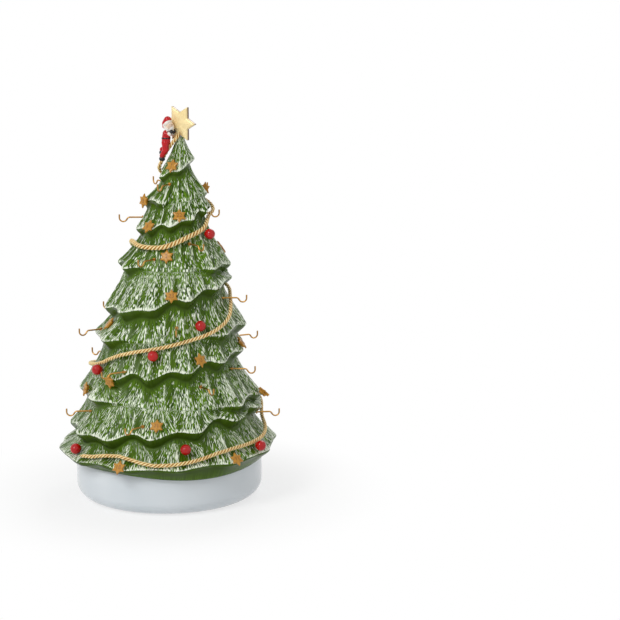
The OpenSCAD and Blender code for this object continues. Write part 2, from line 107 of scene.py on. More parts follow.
# Helpers
def linear(hex_colour):
    """Linear colour of an sRGB hex value, with alpha 1."""
    channels = [int(hex_colour[i:i + 2], 16)/255 for i in (1, 3, 5)]
    return [c/12.92 if c <= 0.04045 else ((c + 0.055)/1.055)**2.4 for c in channels] + [1]


def add(tree, kind, values={}, links={}, **settings):
    """Adds a shader node with its settings, the values of its sockets and the links into them."""
    made = tree.nodes.new("ShaderNode" + kind)
    for name, value in settings.items():
        setattr(made, name, value)
    for socket, value in values.items():
        made.inputs[socket].default_value = value
    for socket, source in links.items():
        tree.links.new(source, made.inputs[socket])
    return made


def finish_of(name, values):
    """A new material with one Principled shader, and the shader itself."""
    made = bpy.data.materials.new(name)
    made.use_nodes = True
    shader = made.node_tree.nodes["Principled BSDF"]
    for socket, value in values.items():
        shader.inputs[socket].default_value = value
    return made, made.node_tree, shader


def piece(name, points_mm, faces, material, body, smooth=True):
    """A mesh piece from points in millimetres, riding on a body."""
    mesh = bpy.data.meshes.new(name)
    mesh.from_pydata((np.asarray(points_mm)*MM).tolist(), [], [list(f) for f in faces])
    mesh.update()
    if smooth:
        mesh.shade_smooth()
    else:
        mesh.shade_flat()
    mesh.materials.append(material)
    made = bpy.data.objects.new(name, mesh)
    bpy.context.scene.collection.objects.link(made)
    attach(made, body)
    return made


def store(made, name, values, kind="FLOAT"):
    """Keeps one value, vector or colour for each point of a mesh, for its material to read."""
    field = {"FLOAT": "value", "FLOAT_VECTOR": "vector", "FLOAT_COLOR": "color"}[kind]
    attribute = made.data.attributes.new(name, kind, "POINT")
    attribute.data.foreach_set(field, np.asarray(values, np.float32).ravel())


def ease(start, end, x):
    """Smooth step from 0 at the start to 1 at the end."""
    t = np.clip((x - start)/(end - start), 0, 1)
    return t*t*(3 - 2*t)


def lattice_noise(x, y, seed):
    """Smooth noise from -1 to 1 on a seeded lattice of unit cells."""
    size = 256
    lattice = np.random.default_rng(seed).uniform(-1, 1, (size, size))
    column, row = np.floor(x).astype(int), np.floor(y).astype(int)
    u, v = ease(0, 1, x - column), ease(0, 1, y - row)
    left, right = column % size, (column + 1) % size
    upper, lower = row % size, (row + 1) % size
    above = lattice[left, upper]*(1 - u) + lattice[right, upper]*u
    below = lattice[left, lower]*(1 - u) + lattice[right, lower]*u
    return above*(1 - v) + below*v


# Form of the tree
def lean_x(z):
    """How far the trunk leans to +X at a height."""
    return TREE_LEAN*np.maximum(0, (z - LEDGE_Z)/(TIP_Z - LEDGE_Z))**LEAN_POWER


def polar(azimuth, r, z):
    """Points at an azimuth, a distance from the trunk and a height."""
    a = np.radians(azimuth)
    return np.stack([lean_x(z) + r*np.sin(a), -r*np.cos(a), z + 0*a], -1)


def ring_edges(azimuth):
    """For each ring: its face's root, top and edge, its tuck, and where each place lies on a bough.

    Where a ring dies out, the next face keeps the root of the face above, so that the two run on as one.
    """
    root_r, root_z = TIP_R + 0*azimuth, TIP_Z + 0*azimuth
    top_r, top_z, live_above = root_r, root_z, 0*azimuth
    edges = []
    for k, (height, tilt, reach, boughs, ridge, undercut, lift, notch, fades) in enumerate(RINGS):
        live = 1 + 0*azimuth
        for fade in fades:
            live = np.minimum(live, ease(FADE_FROM, FADE_TO, np.abs((azimuth - fade + 180) % 360 - 180)))
        place = boughs*(azimuth - ridge)/360
        offset = place - np.round(place)
        turn = NOTCH_STEP*(np.floor(place) % boughs + k)
        depth = LEAST_NOTCH + (1 - LEAST_NOTCH)*(turn - np.floor(turn))
        crest = 1 - depth*(1 - np.cos(math.tau*place))/2
        raised = np.cos(np.radians(azimuth - TILT_AZIMUTH))
        z = np.minimum(height + tilt*raised + live*lift*(1 - crest), top_z - LEAST_FACE)
        bough = reach*(1 - notch*(1 - crest)) + SPREAD*(height - z)
        below = RINGS[min(k + 1, len(RINGS) - 1)]
        run_on = (root_z - z)/(root_z - below[0] - below[1]*raised)
        plain = root_r + (below[2] - root_r)*run_on**FACE_POWER
        r = np.maximum(top_r + 1, plain + live*(bough - plain))
        cut = CREASE + live*undercut*(UNDERCUT_VALLEY + (1 - UNDERCUT_VALLEY)*crest)
        tuck_r, tuck_z = r - cut, z - UNDERCUT_DROP*cut
        edges.append({
            "root": (root_r, root_z),
            "top_z": top_z,
            "edge": (r, z),
            "tuck": (tuck_r, tuck_z),
            "crest": crest,
            "live": live,
            "live_above": live_above,
            "share": offset,
            "depth": depth,
            "offset": math.tau*r*offset/boughs,
        })
        root_r, root_z = root_r + live*(tuck_r - root_r), root_z + live*(tuck_z - root_z)
        top_r, top_z, live_above = tuck_r, tuck_z, live
    return edges


def face_point(e, t):
    """Radius and height on a ring's face, from its top (0) to its edge (1)."""
    (root_r, root_z), (r, edge_z) = e["root"], e["edge"]
    z = e["top_z"] + (edge_z - e["top_z"])*t
    return root_r + (r - root_r)*((root_z - z)/(root_z - edge_z))**FACE_POWER, z


def rim_z(azimuth):
    """Height of the wavy rim of the hem."""
    return HEM_Z + HEM_WAVE*np.cos(np.radians(HEM_WAVES*(azimuth - HEM_WAVE_AT)))


# Materials
# Sockets by number: a Mix of colours has its factor at 0, its colours at 6 and 7 and its result at output 2.
# A MapRange has its value at 0, the range it reads at 1 and 2 and the range it gives at 3 and 4.
def two_tone(name, values, colours, grain, detail=None, bump=None):
    """A finish in two colours that a pattern mixes, raised by the same pattern with a strength and a depth.

    The pattern is a noise with some detail, or cells if none is given. Its grain and the depth are in mm.
    """
    made, tree, shader = finish_of(name, values)
    place = add(tree, "TexCoord").outputs["Object"]
    scale = 1/(grain*MM)
    if detail is None:
        pattern = add(tree, "TexVoronoi", {"Scale": scale}, {"Vector": place}).outputs["Distance"]
    else:
        pattern = add(tree, "TexNoise", {"Scale": scale, "Detail": detail}, {"Vector": place}).outputs["Fac"]
    dark, light = (linear(colour) for colour in colours)
    colour = add(tree, "Mix", {6: dark, 7: light}, {0: pattern}, data_type="RGBA")
    tree.links.new(colour.outputs[2], shader.inputs["Base Color"])
    if bump:
        strength, depth = bump
        relief = add(tree, "Bump", {"Strength": strength, "Distance": depth*MM}, {"Height": pattern})
        tree.links.new(relief.outputs["Normal"], shader.inputs["Normal"])
    return made


# Green glaze on white earthenware, brushed by hand: a smooth green with white needle strokes dragged over the
# raised boughs, thickest along their lower edges. The green is darkened with painted shade under the boughs,
# in the valleys, on the steep sides of the folds and in the grooves of the carved needles, and the strokes
# carry a painted highlight on the lit sides of the folds. The carved ground breaks up what it mirrors, so its
# specular level is low and the green stays deep.
STROKE_W, STROKE_L = 0.85, 4.8   # white needle strokes: width and length, mm
CARVED_W, CARVED_L = 1.5, 9      # carved needles under the glaze, mm
POOL = 22                        # patches where the glaze lies thicker, mm
STROKE_LEVEL = 0.95              # strokes show where their noise and the frost add up to more than this
STROKE_EDGE = 0.07               # softness of a stroke's edge
STROKE_COVER = 0.95              # how well a stroke hides the green


def green_glaze():
    made, tree, shader = finish_of("green_glaze_brushed_white",
                                   {"Roughness": 0.22, "IOR": 1.5, "Specular IOR Level": 0.12})
    flow = add(tree, "Attribute", attribute_name="flow").outputs["Vector"]
    frost_and_fold_light = add(tree, "Attribute", attribute_name="frost_and_fold_light").outputs["Fac"]
    hollow = add(tree, "Attribute", attribute_name="hollow").outputs["Fac"]
    place = add(tree, "TexCoord").outputs["Object"]
    along = add(tree, "VectorMath", {1: (1/STROKE_W, 1/STROKE_L, 1)}, {0: flow}, operation="MULTIPLY")
    strokes = add(tree, "TexNoise", {"Scale": 1, "Detail": 0.4, "Distortion": 0.25},
                  {"Vector": along.outputs[0]})
    carving = add(tree, "VectorMath", {1: (1/CARVED_W, 1/CARVED_L, 3)}, {0: flow}, operation="MULTIPLY")
    needles = add(tree, "TexNoise", {"Scale": 1, "Detail": 2, "Roughness": 0.6},
                  {"Vector": carving.outputs[0]})
    pools = add(tree, "TexNoise", {"Scale": 1/(POOL*MM), "Detail": 3}, {"Vector": place})
    patches = add(tree, "Mix", {6: linear("#4B730C"), 7: linear("#6E941E")}, {0: pools.outputs["Fac"]},
                  data_type="RGBA")
    # Painted shade in the grooves of the carved needles: the green darkens to #1E380A where their noise is
    # low.
    depth = add(tree, "MapRange", {1: 0.36, 2: 0.6}, {0: needles.outputs["Fac"]})
    carved = add(tree, "Mix", {6: linear("#1E380A")}, {0: depth.outputs[0], 7: patches.outputs[2]},
                 data_type="RGBA")
    bare = add(tree, "MapRange", {1: 0.05, 2: 0.4, 3: 0.4, 4: 1}, {0: frost_and_fold_light})
    face = add(tree, "Mix", {6: linear("#4C6A0E")}, {0: bare.outputs[0], 7: carved.outputs[2]},
               data_type="RGBA")
    # Painted shade: darker green (#384E10) under the boughs, in valleys, undercuts and on folds' steep sides.
    folds = add(tree, "Mix", {7: linear("#384E10")}, {0: hollow, 6: face.outputs[2]}, data_type="RGBA")
    level = add(tree, "Math", {1: STROKE_LEVEL}, {0: frost_and_fold_light}, operation="SUBTRACT")
    raised = add(tree, "Math", {}, {0: strokes.outputs["Fac"], 1: level.outputs[0]}, operation="ADD")
    mask = add(tree, "MapRange", {1: 0, 2: STROKE_EDGE, 3: 0, 4: STROKE_COVER}, {0: raised.outputs[0]},
               interpolation_type="SMOOTHSTEP")
    colour = add(tree, "Mix", {7: linear("#F0F7E4")}, {0: mask.outputs[0], 6: folds.outputs[2]},
                 data_type="RGBA")
    height = add(tree, "Math", {}, {0: needles.outputs["Fac"], 1: frost_and_fold_light}, operation="MULTIPLY")
    relief = add(tree, "Bump", {"Strength": 0.8, "Distance": 1.2*MM}, {"Height": height.outputs[0]})
    tree.links.new(colour.outputs[2], shader.inputs["Base Color"])
    tree.links.new(relief.outputs["Normal"], shader.inputs["Normal"])
    return made


# White glaze on the base: cool white, very smooth, with a slight swimming of the surface.
def white_glaze():
    return two_tone("white_glaze", {"Roughness": 0.16, "IOR": 1.5},
                    ("#CDD5DB", "#E2E7EB"), grain=45, detail=1, bump=(0.25, 0.3))


# Ochre glaze on the rope, with painted light: a pale painted highlight on the strands' backs, and brown
# painted shade where they run into the lay.
def rope_glaze():
    made, tree, shader = finish_of("rope_ochre_glaze",
                                   {"Roughness": 0.3, "IOR": 1.5, "Specular IOR Level": 0.3})
    back = add(tree, "Attribute", attribute_name="back")
    place = add(tree, "TexCoord")
    runs = add(tree, "TexNoise", {"Scale": 1/(6*MM), "Detail": 3}, {"Vector": place.outputs["Object"]})
    spread = add(tree, "Math", {1: 0.5, 2: -0.25}, {0: runs.outputs["Fac"]}, operation="MULTIPLY_ADD")
    height = add(tree, "Math", {}, {0: back.outputs["Fac"], 1: spread.outputs[0]}, operation="ADD")
    # The ramp goes from brown painted shade in the lay to a pale painted highlight on the strands' backs.
    ramp = add(tree, "ValToRGB", {}, {0: height.outputs[0]})
    stops = ramp.color_ramp.elements
    stops[0].position = 0.25
    stops[0].color = linear("#7E480F")
    stops[1].position = 0.95
    stops[1].color = linear("#FFECB2")
    stops.new(0.6).color = linear("#CF9338")
    tree.links.new(ramp.outputs[0], shader.inputs["Base Color"])
    return made


# Ochre glaze on the number stars: the same glaze, mottled where it lies uneven on the flat plates.
def star_glaze():
    return two_tone("star_ochre_glaze", {"Roughness": 0.3, "IOR": 1.5, "Specular IOR Level": 0.3},
                    ("#96621A", "#D8A040"), grain=3.5, detail=3, bump=(0.3, 0.2))


# Brown paint of the numbers, put on with a fine brush: half matt, thinner in places.
def number_paint():
    return two_tone("number_brown_paint", {"Roughness": 0.4, "IOR": 1.5},
                    ("#6E4210", "#9A641C"), grain=1.5, detail=2)


# Gold lustre over cream glaze on the top star: a film so thin that the cream shows through as a pale satin
# gold. The rear part of the wall is painted brown, as a painted reflection of dark surroundings.
def gold_lustre():
    made, tree, shader = finish_of("pale_gold_lustre", {"Metallic": 0.15, "Roughness": 0.3})
    rim = add(tree, "Attribute", attribute_name="rim")
    place = add(tree, "TexCoord")
    cloud = add(tree, "TexNoise", {"Scale": 1/(16*MM), "Detail": 2}, {"Vector": place.outputs["Object"]})
    face = add(tree, "Mix", {6: linear("#F0D590"), 7: linear("#FBE9B8")}, {0: cloud.outputs["Fac"]},
               data_type="RGBA")
    # Painted reflection: brown on the wall behind the paint line.
    colour = add(tree, "Mix", {7: linear("#6B3F16")}, {0: rim.outputs["Fac"], 6: face.outputs[2]},
                 data_type="RGBA")
    tree.links.new(colour.outputs[2], shader.inputs["Base Color"])
    return made


# Red glaze on the baubles: deep, clear and glossy.
def red_glaze():
    return two_tone("red_glaze", {"Roughness": 0.06, "IOR": 1.5, "Specular IOR Level": 0.4},
                    ("#A00205", "#C80407"), grain=9, detail=1)


# Enamel paint on the figure, brushed on and fired: glossy, and a little uneven in depth. Its colours are kept
# on the mesh.
def figure_enamel():
    made, tree, shader = finish_of("figure_enamel",
                                   {"Roughness": 0.14, "IOR": 1.5, "Specular IOR Level": 0.3})
    paint = add(tree, "Attribute", attribute_name="paint")
    place = add(tree, "TexCoord")
    brush = add(tree, "TexNoise", {"Scale": 1/(2.5*MM), "Detail": 2}, {"Vector": place.outputs["Object"]})
    shade = add(tree, "MapRange", {1: 0.3, 2: 0.7, 3: 0.82, 4: 1.08}, {0: brush.outputs["Fac"]})
    colour = add(tree, "VectorMath", {}, {0: paint.outputs["Color"], 1: shade.outputs[0]},
                 operation="MULTIPLY")
    tree.links.new(colour.outputs[0], shader.inputs["Base Color"])
    return made


# Brass wire, drawn through a die: a fine grain, coarser here than the real one so that it shows, and browner
# patches where the wire is handled.
def brass_wire():
    made = two_tone("drawn_brass_wire", {"Metallic": 1, "Roughness": 0.3},
                    ("#9A6A2C", "#CFA35C"), grain=7, detail=3)
    tree = made.node_tree
    place = add(tree, "TexCoord")
    grain = add(tree, "TexNoise", {"Scale": 1/(0.5*MM), "Detail": 2}, {"Vector": place.outputs["Object"]})
    relief = add(tree, "Bump", {"Strength": 0.15, "Distance": 0.05*MM}, {"Height": grain.outputs["Fac"]})
    tree.links.new(relief.outputs["Normal"], tree.nodes["Principled BSDF"].inputs["Normal"])
    return made


# Zinc-plated steel, turned and dipped: satin grey with a bluish crystalline bloom.
def zinc_steel():
    return two_tone("zinc_plated_steel", {"Metallic": 1, "Roughness": 0.36},
                    ("#A9AFB4", "#C9CDD0"), grain=1.5)


# Moulded nylon: warm white, waxy, with a faint spark-eroded grain.
def moulded_nylon():
    return two_tone("moulded_nylon", {"Roughness": 0.45, "IOR": 1.53},
                    ("#E2DED0", "#F0ECE0"), grain=0.6, detail=2, bump=(0.2, 0.05))


# Fibreboard, sanded: brown with short fibres in two tones.
def fibre_board():
    return two_tone("sanded_fibreboard", {"Roughness": 0.75, "IOR": 1.5},
                    ("#5E4C34", "#8A7454"), grain=1.2, detail=5)


# ABS sheet under the base: grey, matt, with a fine leather grain.
def grained_sheet():
    return two_tone("grained_abs_sheet", {"Roughness": 0.55, "IOR": 1.53},
                    ("#7E8388", "#959A9F"), grain=0.8, bump=(0.4, 0.1))


# Pressed wool felt: dark green, matt, matted fibres.
def pressed_felt():
    return two_tone("pressed_felt", {"Roughness": 0.95, "Sheen Weight": 0.4},
                    ("#2C3528", "#4F5C48"), grain=0.7, detail=6, bump=(0.6, 0.2))


# The tree
COLUMNS = 840
ROW_STEP = 1.25          # spacing of the rows down a face, mm
UNDERCUT_ROWS = 8
LIP_SMOOTHING = 8        # passes that round the boughs' lower edges
FAN_AT_TOP = 0.5         # how far the strokes draw together at the top of a face
SEAM = 0.12              # height of the strip in which the strokes pass from one ring to the next, mm
RING_SHIFT = 7.3         # moves the patterns on from ring to ring, so that no two rings are alike
PLEAT = 3                # depth of the folds, mm
PLEATS = 2               # folds to a bough
PLEAT_FOOT = 0.35        # a fold drops from its crest line to its foot within this share of its width
PLEAT_GROWTH = 0.45      # share of a face over which its folds grow from its top
FROST = 0.385            # white on a plain face
CREST_FROST = 0.03       # more on the crest of a bough
VALLEY_FROST = 0.04      # less in the valleys between boughs
LIT_SIDE_FROST = 0.2      # more before the crest line of a fold, on its lit side: a painted highlight
STEEP_FROST = 0.16       # less on the steep side of a fold, as painted shade
LIP_FROST = 0.3          # more along a lower edge, at most
LIP_PATCH = 16           # length of the stretches of an edge that have more or less of it, mm
LIP_W = 2.6              # width of the white edge, mm
SHADE_W = 4.5            # width of the strip under the edge above that is bare of white and darkened with painted shade, mm
UNDERCUT_COURSE = 6      # length of the strokes' course over an undercut, mm
CAP_R = 0.5              # radius at which the tip and the cavity's top are closed, mm
HEM_ROUND_W, HEM_ROUND_H = 2.5, 2.2   # rounding of the rim's outer edge, mm
WANDER, WANDER_SIZE = 1.6, (9, 16)    # how far the strokes stray, and over what width and length, mm
TUFT, TUFT_SIZE = 0.6, (5, 15)        # height of the carved tufts, and their width and length, mm
FINE_TUFT, FINE_TUFT_SIZE = 0.6, (2.6, 10)   # finer tufts on them, as a share of their height
TUFT_FROST = 0.03        # more white on the tufts
PATCH_FROST, PATCH_SIZE = 0.05, (25, 25)     # patches with more or less white


def tree_grid():
    """Rows of the outer surface: radius, height, strokes' course, white with painted fold light, painted
    shade.
    """
    azimuth = np.arange(COLUMNS)*360/COLUMNS
    rows = []
    for ring, e in enumerate(ring_edges(azimuth)):
        (r1, z1), (r2, z2) = e["edge"], e["tuck"]
        r0, z0 = face_point(e, 0)
        length = np.hypot(r1 - r0, z1 - z0)
        valley = (1 - e["crest"])*e["live"]
        width = np.mod(PLEATS*e["share"], 1)
        fold = ease(PLEAT_FOOT, 1, width) - ease(0, PLEAT_FOOT, width)
        steep = ease(0, 0.1, width)*(1 - ease(0.7*PLEAT_FOOT, 1.2*PLEAT_FOOT, width))*(0.4 + 0.6*e["depth"])
        # Painted highlight: the lit side of a fold, just before its crest line.
        lit_side = ease(0.8, 1, width)*(0.1 + 0.9*e["depth"])
        shift = np.full_like(r1, RING_SHIFT*ring)
        arc = np.radians((azimuth + 180) % 360 - 180)*r1
        lip_white = LIP_FROST*np.clip(0.65 + 0.5*lattice_noise(arc/LIP_PATCH, shift, 9), 0, 1)
        count = max(4, int(length.mean()/ROW_STEP))
        steps = np.linspace(0, 1, count + 1)
        if ring > 0:
            steps[0] = SEAM/length.mean()
        for t in steps:
            r, z = face_point(e, t)
            grown = ease(0, PLEAT_GROWTH, t)*(1 - (1 - e["live"])*ease(0.5, 1, t))
            pleat = PLEAT*e["depth"]*fold*grown
            under_lip = e["live_above"]*np.exp(-length*t/SHADE_W)
            near_edge = e["live"]*np.exp(-length*(1 - t)/LIP_W)
            frost_and_fold_light = FROST + CREST_FROST*e["crest"]*e["live"] + lip_white*near_edge - VALLEY_FROST*valley
            # Painted light on the folds: more white on the lit side, less on the steep side.
            fold_frost = (LIT_SIDE_FROST*lit_side - STEEP_FROST*steep)*grown
            frost_and_fold_light = (frost_and_fold_light + fold_frost*(1 - near_edge))*(1 - under_lip)
            # Painted shade: darker under the edge above, in the valleys and on the steep side of each fold.
            hollow = np.clip(0.8*under_lip + (0.35*valley**2 + 0.5*steep*grown)*(1 - near_edge), 0, 1)
            across = e["offset"]*r/r1/(FAN_AT_TOP + (1 - FAN_AT_TOP)*t)
            rows.append((r + pleat, z, across, length*t, shift, frost_and_fold_light, hollow))
        lip_frost = frost_and_fold_light
        for s in np.linspace(0, 1, UNDERCUT_ROWS + 1)[1:]:
            r = r1 + (r2 - r1)*s + pleat*(1 - s)
            z = z1 + (z2 - z1)*s
            frost_and_fold_light = lip_frost*(1 - e["live"]*(1 - np.exp(-s*12)))
            # Painted shade in the undercut, darkest where it tucks in.
            hollow = e["live"]*(0.5 + 0.5*s)
            rows.append((r, z, e["offset"], length + UNDERCUT_COURSE*s*e["live"], shift, frost_and_fold_light, hollow))
    return azimuth, [np.array(layer) for layer in zip(*rows)]


def grid_normals(points):
    """Outward normals of a closed grid of rows and columns."""
    around = np.roll(points, -1, 1) - np.roll(points, 1, 1)
    down = np.gradient(points, axis=0)
    normal = np.cross(down, around)
    return normal/np.maximum(np.linalg.norm(normal, axis=-1, keepdims=True), 1e-9)


def grid_faces(rows, columns):
    """Quads between the rows of a closed grid."""
    here = np.arange(rows*columns).reshape(rows, columns)
    beside = np.roll(here, -1, 1)
    quads = np.stack([here[:-1], here[1:], beside[1:], beside[:-1]], -1)
    return quads.reshape(-1, 4)


def capped_faces(rows, columns, start=0):
    """Faces of a closed grid with its first and last rows filled, for points that begin at a given one."""
    first = list(range(start, start + columns))
    last = [point + (rows - 1)*columns for point in first]
    return (grid_faces(rows, columns) + start).tolist() + [first, last[::-1]]


def tree_inside(azimuth):
    """Rows of the inner surface, from the rim's outer edge over the ledge to the top of the cavity."""
    rim_r = HEM_R + HEM_T
    low = rim_z(azimuth)
    level = 0*azimuth
    profile = [
        (rim_r - 0.4*HEM_ROUND_W, low + HEM_ROUND_H),
        (rim_r - HEM_ROUND_W, low),
        (HEM_R, low),
        (HEM_R, level + LEDGE_Z),
        (HEM_R - HEM_LEDGE, level + LEDGE_Z),
        (CAVITY_TOP_R, level + CAVITY_TOP),
        (CAP_R, level + CAVITY_TOP),
    ]
    return np.stack([polar(azimuth, r, z) for r, z in profile])


def course_noise(course, size, seed):
    """Noise along the strokes' course, in patches of a width and a length in mm."""
    across, down, shift = course
    return lattice_noise(across/size[0], down/size[1] + shift, seed)


def make_tree():
    azimuth, (r, z, across, down, shift, frost_and_fold_light, hollow) = tree_grid()
    for _ in range(LIP_SMOOTHING):
        for layer in (r, z):
            layer[1:-1] = 0.25*layer[:-2] + 0.5*layer[1:-1] + 0.25*layer[2:]
    outside = polar(azimuth[None, :] + 0*r, r, z)
    across = across + WANDER*course_noise((across, down, shift), WANDER_SIZE, 1)
    course = (across, down, shift)
    tufts = course_noise(course, TUFT_SIZE, 2) + FINE_TUFT*course_noise(course, FINE_TUFT_SIZE, 3)
    outside = outside + grid_normals(outside)*(TUFT*tufts*ease(0.1, 0.5, frost_and_fold_light))[..., None]
    patches = PATCH_FROST*course_noise(course, PATCH_SIZE, 4)
    frost_and_fold_light = frost_and_fold_light + (TUFT_FROST*tufts + patches)*ease(0.1, 0.4, frost_and_fold_light)
    tip = polar(azimuth, CAP_R, TIP_Z + 0*azimuth)[None]
    inside = tree_inside(azimuth)
    points = np.concatenate([tip, outside, inside])
    added = ((len(tip), len(inside)), (0, 0))
    faces = capped_faces(len(points), COLUMNS)
    tree = piece("glazed_tree", points.reshape(-1, 3), faces, green_glaze(), "tree")
    flow = np.stack([np.pad(layer, added, mode="edge") for layer in course], -1)
    store(tree, "flow", flow, "FLOAT_VECTOR")
    store(tree, "frost_and_fold_light", np.pad(frost_and_fold_light, added))
    # Painted shade; the tip and the inner surfaces get a fixed share of it.
    store(tree, "hollow", np.pad(hollow, added, constant_values=0.3))
    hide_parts("tree_shell")


make_tree()

# Base: the white drum, turned
FOOT_ROUND, SHOULDER_ROUND = 15, 8
BASE_COLUMNS = 192
ARC_POINTS = 13          # points on a quarter round
WALL_STEPS = 5           # rows of faces down the straight wall
BASE_WALL = 5
DECK_T = 6
DECK_SLOPE_W, DECK_SLOPE_H = 3, 4   # slope between the wall and the deck, inside
FLOOR_OPENING_R = 79
COVER_LEDGE = 4.05       # width of the rebate that takes the floor cover
COVER_REBATE = 3         # depth of that rebate
HUB_R = 7.1              # hole in the deck for the bush


def lathe(name, profile, columns, material, body):
    """A turned piece from a closed profile of radius and height."""
    turns = np.arange(columns)*math.tau/columns
    points = [[r*math.cos(a), r*math.sin(a), z] for r, z in profile + profile[:1] for a in turns]
    return piece(name, points, grid_faces(len(profile) + 1, columns), material, body)


def make_base():
    arc = np.radians(np.linspace(0, 90, ARC_POINTS))
    shoulder_r, shoulder_z = BASE_R - SHOULDER_ROUND, BASE_H - SHOULDER_ROUND
    foot_r, foot_z = BASE_R - FOOT_ROUND, BASE_Z + FOOT_ROUND
    outer = [(shoulder_r + SHOULDER_ROUND*math.sin(a), shoulder_z + SHOULDER_ROUND*math.cos(a)) for a in arc]
    outer += [(BASE_R, z) for z in np.linspace(shoulder_z, foot_z, WALL_STEPS + 1)[1:-1]]
    outer += [(foot_r + FOOT_ROUND*math.cos(a), foot_z - FOOT_ROUND*math.sin(a)) for a in arc]
    rebate_r, rebate_z = FLOOR_OPENING_R + COVER_LEDGE, BASE_Z + COVER_REBATE
    floor_z, deck_z = BASE_Z + BASE_WALL, BASE_H - DECK_T
    wall_r = BASE_R - BASE_WALL
    inner = [
        (rebate_r, BASE_Z),
        (rebate_r, rebate_z),
        (FLOOR_OPENING_R, rebate_z),
        (FLOOR_OPENING_R, floor_z),
        (foot_r, floor_z),
        (wall_r, foot_z),
        (wall_r, deck_z - DECK_SLOPE_H),
        (wall_r - DECK_SLOPE_W, deck_z),
        (HUB_R, deck_z),
        (HUB_R, BASE_H),
    ]
    drum = lathe("glazed_base", outer + inner, BASE_COLUMNS, white_glaze(), "base")
    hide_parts("base_drum")


make_base()

# Garland: three strands laid round the line that the rope follows over the boughs
ROPE_FULL_Z = 288        # the rope is at its fullest at this height, mm
ROPE_SLIM = 0.88         # its thickness elsewhere, as a share
ROPE_SWELL = 0.28        # what it gains where it is full
ROPE_SWELL_SPAN = 16     # height over which it swells, mm
LAY_PITCH = 13           # length of one turn of the lay, mm
STRANDS = 3
STRAND_SIDES = 10
STRAND_R = 0.27*ROPE_D
STRAND_END = 0.25        # share of a strand's thickness that is left at its ends
ROPE_STEP = 1.0          # spacing of the rings along the rope, mm
ROPE_TAPER = 6           # rings over which an end tapers
REST_TURN = 4            # degrees to each side at which the rope may touch a bough
REST_LEVELS = 5          # heights on the rope at which it may touch
FACE_STEPS = (0, 0.25, 0.55, 0.8, 1)   # places down a face at which its profile is taken


def profile_at(azimuth):
    """Radius and height down the tree at one azimuth, lowest first."""
    a = np.array([float(azimuth)])
    points = []
    for e in ring_edges(a):
        for t in FACE_STEPS:
            r, z = face_point(e, t)
            points.append((r[0], z[0]))
    points.append((HEM_R + HEM_T, rim_z(azimuth)))
    rows = np.array(points[::-1])
    return rows[:, 1], rows[:, 0]


def rest_r(azimuth, z):
    """Distance from the trunk at which the middle of the rope rests on the boughs at one place."""
    rope_r = ROPE_D/2 + SEAT_GAP
    levels = np.linspace(-1, 1, REST_LEVELS)
    stand_off = rope_r*np.sqrt(1 - levels**2)
    beside = (azimuth - REST_TURN, azimuth, azimuth + REST_TURN)
    return max((np.interp(z + levels*rope_r, *profile_at(place)) + stand_off).max() for place in beside)


def garland_line():
    """Points along the middle of the rope, resting on the tree, evenly spaced."""
    angles, heights = np.array(GARLAND_ROUTE, float).T
    wound = np.arange(-2*GARLAND_BRIDGE, angles[-1] + 2*GARLAND_BRIDGE + 1)
    half = GARLAND_SOFTEN/2
    softened = ((0.25, -half), (0.5, 0), (0.25, half))
    z = sum(weight*np.interp(wound + shift, angles, heights) for weight, shift in softened)
    rest = np.array([rest_r(-u, h) for u, h in zip(wound, z)])
    window = 2*GARLAND_BRIDGE + 1
    held = np.array([rest[max(0, i - GARLAND_BRIDGE):i + GARLAND_BRIDGE + 1].max() for i in range(len(rest))])
    r = np.convolve(held, np.ones(window)/window, "same")
    kept = slice(2*GARLAND_BRIDGE, len(r) - 2*GARLAND_BRIDGE)
    line = polar(-wound[kept], r[kept], z[kept])
    travelled = np.concatenate([[0], np.cumsum(np.linalg.norm(np.diff(line, axis=0), axis=1))])
    even = np.arange(0, travelled[-1], ROPE_STEP)
    return np.stack([np.interp(even, travelled, line[:, i]) for i in range(3)], -1)


def make_garland():
    line = garland_line()
    along = np.gradient(line, axis=0)
    along /= np.linalg.norm(along, axis=1, keepdims=True)
    side = np.cross(along, [0, 0, 1])
    side /= np.linalg.norm(side, axis=1, keepdims=True)
    over = np.cross(side, along)
    count = len(line)
    turn = np.arange(count)*ROPE_STEP*math.tau/LAY_PITCH
    taper = ease(0, ROPE_TAPER, np.arange(count))
    swell = ROPE_SLIM + ROPE_SWELL*np.exp(-((line[:, 2] - ROPE_FULL_Z)/ROPE_SWELL_SPAN)**2)
    lay_r = (ROPE_D/2 - STRAND_R)*swell
    strand_r = STRAND_R*swell*(STRAND_END + (1 - STRAND_END)*taper*taper[::-1])
    sides = np.arange(STRAND_SIDES)*math.tau/STRAND_SIDES
    points, faces = [], []
    for strand in range(STRANDS):
        phase = turn + strand*math.tau/STRANDS
        middle = line + lay_r[:, None]*(np.cos(phase)[:, None]*side + np.sin(phase)[:, None]*over)
        angle = (phase[:, None] + sides)[..., None]
        outward = np.cos(angle)*side[:, None] + np.sin(angle)*over[:, None]
        points.append(middle[:, None] + strand_r[:, None, None]*outward)
        faces += capped_faces(count, STRAND_SIDES, strand*count*STRAND_SIDES)
    rope = piece("laid_rope", np.reshape(points, (-1, 3)), faces, rope_glaze(), "tree")
    # Painted light: 1 on the strands' backs, for the painted highlight, 0 in the lay, for the painted shade.
    store(rope, "back", np.tile(0.5 + 0.5*np.cos(sides), STRANDS*count))
    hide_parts("garland")


make_garland()


